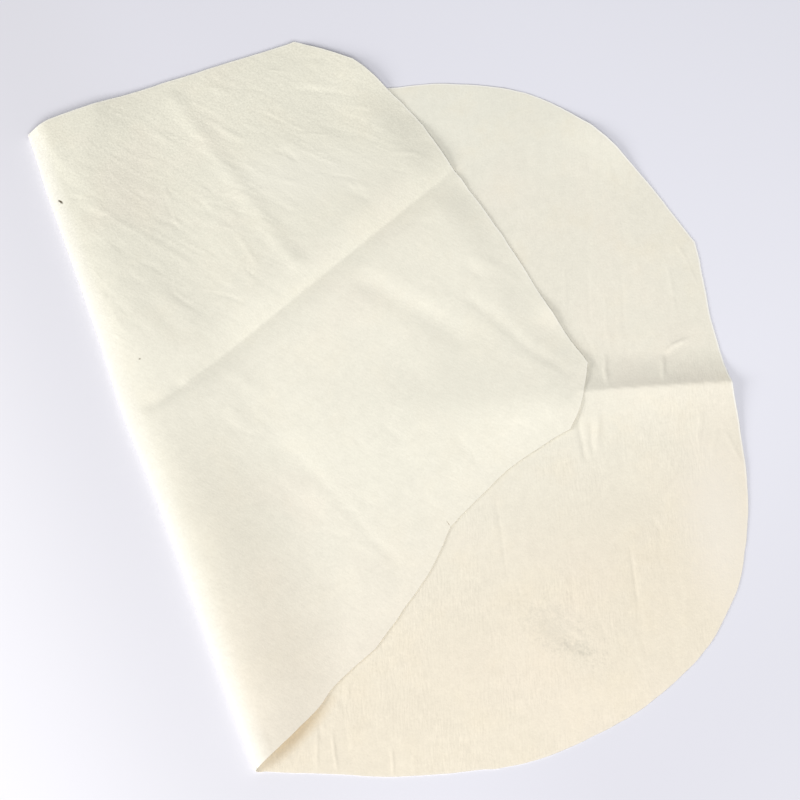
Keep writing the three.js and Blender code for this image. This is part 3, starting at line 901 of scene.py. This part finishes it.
def chamois():
    n = Nodes("chamois")
    place = n.add("ShaderNodeAttribute", {"attribute_name": "flat"}).outputs["Vector"]
    inset = n.add("ShaderNodeAttribute", {"attribute_name": "inset"}).outputs["Fac"]
    u, y, face = n.add("ShaderNodeSeparateXYZ", Vector=place).outputs
    outer = n.ramp(face, *BETWEEN_FACES)

    fields = (CLOUDS, PATCHES, MOTTLE, GRAIN, NAP)
    clouds, patches, mottle, grain, nap = (n.noise(place, *field) for field in fields)
    blush = n.noise(n.mapped(place, BLUSH_PLACE), *BLUSH)
    crepe = n.float_mix(outer, *(n.noise(n.mapped(place, turn=turn, scale=(stretch, 1, 1)), *field)
                                 for turn, stretch, field in CREPE))
    uneven = n.ramp(n.noise(n.mapped(place, UNEVEN_PLACE), *UNEVEN), *UNEVEN_STRENGTH)
    uneven = n.product(uneven, n.ramp(y, *UNEVEN_Y))
    coarse = n.product(outer, n.ramp(y, *COARSE_Y))

    to_middle, to_near = n.ramp(y, *TO_MIDDLE_Y), n.ramp(y, *TO_NEAR_Y)
    faces = [n.mix(to_near, n.mix(to_middle, rgba(far), rgba(middle)), rgba(near))
             for far, middle, near in (BASE_FACE, FLAP_FACE)]
    colour = n.mix(outer, *faces)
    tanned = n.product(n.ramp(patches, *TAN_PATCHES), n.ramp(outer, 0, 1, *TAN_STRENGTHS))
    colour = n.mix(tanned, colour, rgba(TAN))
    colour = n.mix(n.ramp(blush, *BLUSH_STRENGTH), colour, rgba(PINK))
    # painted highlight along the fold's outside
    fold_highlight = n.product(*(n.ramp(u, *zone) for zone in FOLD_HIGHLIGHT_U))
    colour = n.mix(fold_highlight, colour, rgba(FOLD_HIGHLIGHT))
    # painted shade on the flap beside the fold, in its near half
    beside = n.product(*(n.ramp(u, *zone) for zone in PAINTED_SHADE_U), *(n.ramp(y, *zone) for zone in PAINTED_SHADE_Y))
    colour = n.mix(beside, colour, rgba(PAINTED_SHADE))

    tone = n.ramp(clouds, *CLOUDS_TONE, "LINEAR")
    for field, change in ((patches, PATCHES_TONE), (mottle, MOTTLE_TONE)):
        tone = n.product(tone, n.spread(field, 1 - change, 1 + change))
    streak_depth = n.float_mix(outer, n.product(uneven, STREAK_STRENGTHS[0]), STREAK_STRENGTHS[1])
    streaks = n.product(n.spread(crepe, -1, 1), streak_depth)
    tone = n.product(tone, n.math("ADD", streaks, 1.0))
    speckle = n.math("ADD", n.spread(grain, -0.5, 0.5), n.spread(nap, -0.5, 0.5))
    speckle = n.product(speckle, n.ramp(coarse, 0, 1, *SPECKLE_STRENGTHS, "LINEAR"))
    tone = n.product(tone, n.math("ADD", speckle, 1.0))
    colour = n.dimmed(colour, tone)

    rough = n.math("ADD", n.spread(mottle, -0.25, 0.25), n.spread(grain, -0.3, 0.3))
    for centre, half, turn, side, mark, strength, tear in MARKS:
        location = (drawn_u(centre[0], side) * MM, centre[1] * MM, side * FACE_OFFSET)
        turn = turn if side > 0 else 180 - turn
        near = n.mapped(place, location, turn, (half[0] * MM, half[1] * MM, FACE_OFFSET / 2))
        away = n.add("ShaderNodeVectorMath", {"operation": "LENGTH"}, i0=near).outputs["Value"]
        torn = n.math("ADD", away, n.ramp(rough, -0.5, 0.5, -tear, tear, "LINEAR"))
        colour = n.mix(n.ramp(torn, *MARK_FADES, 0.0, strength), colour, rgba(mark))
    pale = n.float_mix(outer, *(n.ramp(y, *zone) for zone in PALE_RIM_Y))
    pale = n.product(pale, n.ramp(inset, *PALE_RIM_INSET))
    colour = n.mix(pale, colour, rgba(PALE_RIM))
    # the cut wall, darkened and warmed as painted shade of the gap along the edge
    wall = n.ramp(n.math("ABSOLUTE", face, 0.0), FACE_OFFSET * WALL_SHARE, 0.0)
    colour = n.mix(wall, colour, rgba(CUT_WALL_AND_SHADE))
    n.set(n.shader.inputs["Base Color"], colour)

    n.set(n.shader.inputs["Roughness"], n.spread(nap, 0.86, 0.98))
    n.shader.inputs["Specular IOR Level"].default_value = 0.2
    n.shader.inputs["Sheen Weight"].default_value = 0.1
    n.shader.inputs["Sheen Roughness"].default_value = 0.55

    crepe_strength = n.float_mix(outer, n.product(uneven, CREPE_BUMPS[0]), CREPE_BUMPS[1])
    creased = n.bump(crepe_strength, BUMP_DEPTHS["crepe"], crepe)
    grain_strength = n.ramp(coarse, 0, 1, *GRAIN_BUMPS, "LINEAR")
    pebbled = n.bump(grain_strength, BUMP_DEPTHS["grain"], grain, Normal=creased)
    napped = n.bump(NAP_BUMP, BUMP_DEPTHS["nap"], nap, Normal=pebbled)
    n.set(n.shader.inputs["Normal"], napped)
    return n.material


def floor_material():
    n = Nodes("pale_floor")
    place = n.add("ShaderNodeTexCoord").outputs["Object"]
    x = n.add("ShaderNodeSeparateXYZ", Vector=place).outputs["X"]
    # painted light across the floor, with painted shade beside the fold
    colour = rgba(FLOOR_PAINTED_LIGHT[0][1])
    for (left, _), (right, shade) in zip(FLOOR_PAINTED_LIGHT, FLOOR_PAINTED_LIGHT[1:]):
        colour = n.mix(n.ramp(x, left, right), colour, rgba(shade))
    # painted shade towards the near right
    toward = n.add("ShaderNodeVectorMath", {"operation": "DOT_PRODUCT"}, i0=place,
                   i1=FLOOR_PAINTED_SHADE["toward"])
    darker = n.ramp(toward.outputs["Value"], *FLOOR_PAINTED_SHADE["grows"], 0.0, 1 - FLOOR_NEAR_RIGHT_SHADE)
    darker = n.product(darker, n.ramp(x, *FLOOR_PAINTED_SHADE["right_of"]))
    colour = n.dimmed(colour, n.math("SUBTRACT", 1.0, darker))
    n.set(n.shader.inputs["Base Color"], colour)
    n.shader.inputs["Roughness"].default_value = 0.7
    n.shader.inputs["Specular IOR Level"].default_value = 0.2
    return n.material


# The object

base, base_flat, base_area = sheet("skin_base", base_point, BASE_CUT, BASE_STROKES, SEEDS["base_cut"])
flap, flap_flat, flap_area = sheet("skin_flap", flap_point, FLAP_CUT, FLAP_STROKES, SEEDS["flap_cut"])
leather = chamois()
for piece in (base, flap):
    piece.data.materials.append(leather)


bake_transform(base)
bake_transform(flap)
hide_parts("base_far_panel", "base_near_panel", "base_crease_ridge",
            "roll_strip_1", "roll_strip_2", "roll_strip_3")
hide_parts("roll_strip_4", "roll_strip_5",
            "flap_far_panel", "flap_middle_panel", "flap_near_panel")

# The table, the light and the camera

FLOOR_SIZE = 8.0
FLOOR_DEPTH = 0.00005  # just under the skin


def add_floor():
    h = FLOOR_SIZE / 2
    mesh = bpy.data.meshes.new("table")
    mesh.from_pydata([(-h, -h, -FLOOR_DEPTH), (h, -h, -FLOOR_DEPTH), (h, h, -FLOOR_DEPTH),
                      (-h, h, -FLOOR_DEPTH)], [], [(0, 1, 2, 3)])
    floor = bpy.data.objects.new("table", mesh)
    bpy.context.scene.collection.objects.link(floor)
    mesh.materials.append(floor_material())


# Two wide windows of soft light: direction, distance, size, power
WINDOWS = {
    "left_window": ((-0.918, 0.06, 0.391), 4.0, 1.8, 89),
    "front_window": ((-0.141, -0.693, 0.707), 4.0, 2.0, 121),
}
WINDOW_COLOUR = (1.0, 0.985, 0.96)
AMBIENT = 0.28
AMBIENT_COLOUR = (0.985, 0.99, 1.0)


def add_light():
    for name, (direction, distance, size, power) in WINDOWS.items():
        lamp = bpy.data.lights.new(name, "AREA")
        lamp.shape = "DISK"
        lamp.size = size
        lamp.energy = power
        lamp.color = WINDOW_COLOUR
        window = bpy.data.objects.new(name, lamp)
        window.location = Vector(direction).normalized() * distance
        window.rotation_mode = "QUATERNION"
        window.rotation_quaternion = (-window.location).to_track_quat("-Z", "Y")
        bpy.context.scene.collection.objects.link(window)

    world = bpy.data.worlds.new("studio")
    world.use_nodes = True
    background = world.node_tree.nodes["Background"]
    background.inputs["Color"].default_value = rgba(AMBIENT_COLOUR)
    background.inputs["Strength"].default_value = AMBIENT
    bpy.context.scene.world = world


CAMERA_PLACE = (-0.1541, -0.3154, 0.7705)
CAMERA_TARGET = (-0.0339, -0.0282, 0.0)
CAMERA_LENS = 55
SENSOR = 36


def add_camera():
    data = bpy.data.cameras.new("camera")
    data.lens = CAMERA_LENS
    data.sensor_width = SENSOR
    camera = bpy.data.objects.new("camera", data)
    camera.location = CAMERA_PLACE
    camera.rotation_mode = "QUATERNION"
    looking = Vector(CAMERA_TARGET) - Vector(CAMERA_PLACE)
    camera.rotation_quaternion = looking.to_track_quat("-Z", "Y")
    bpy.context.scene.collection.objects.link(camera)
    bpy.context.scene.camera = camera


add_floor()
add_light()
add_camera()
bpy.context.scene.view_settings.view_transform = "Standard"
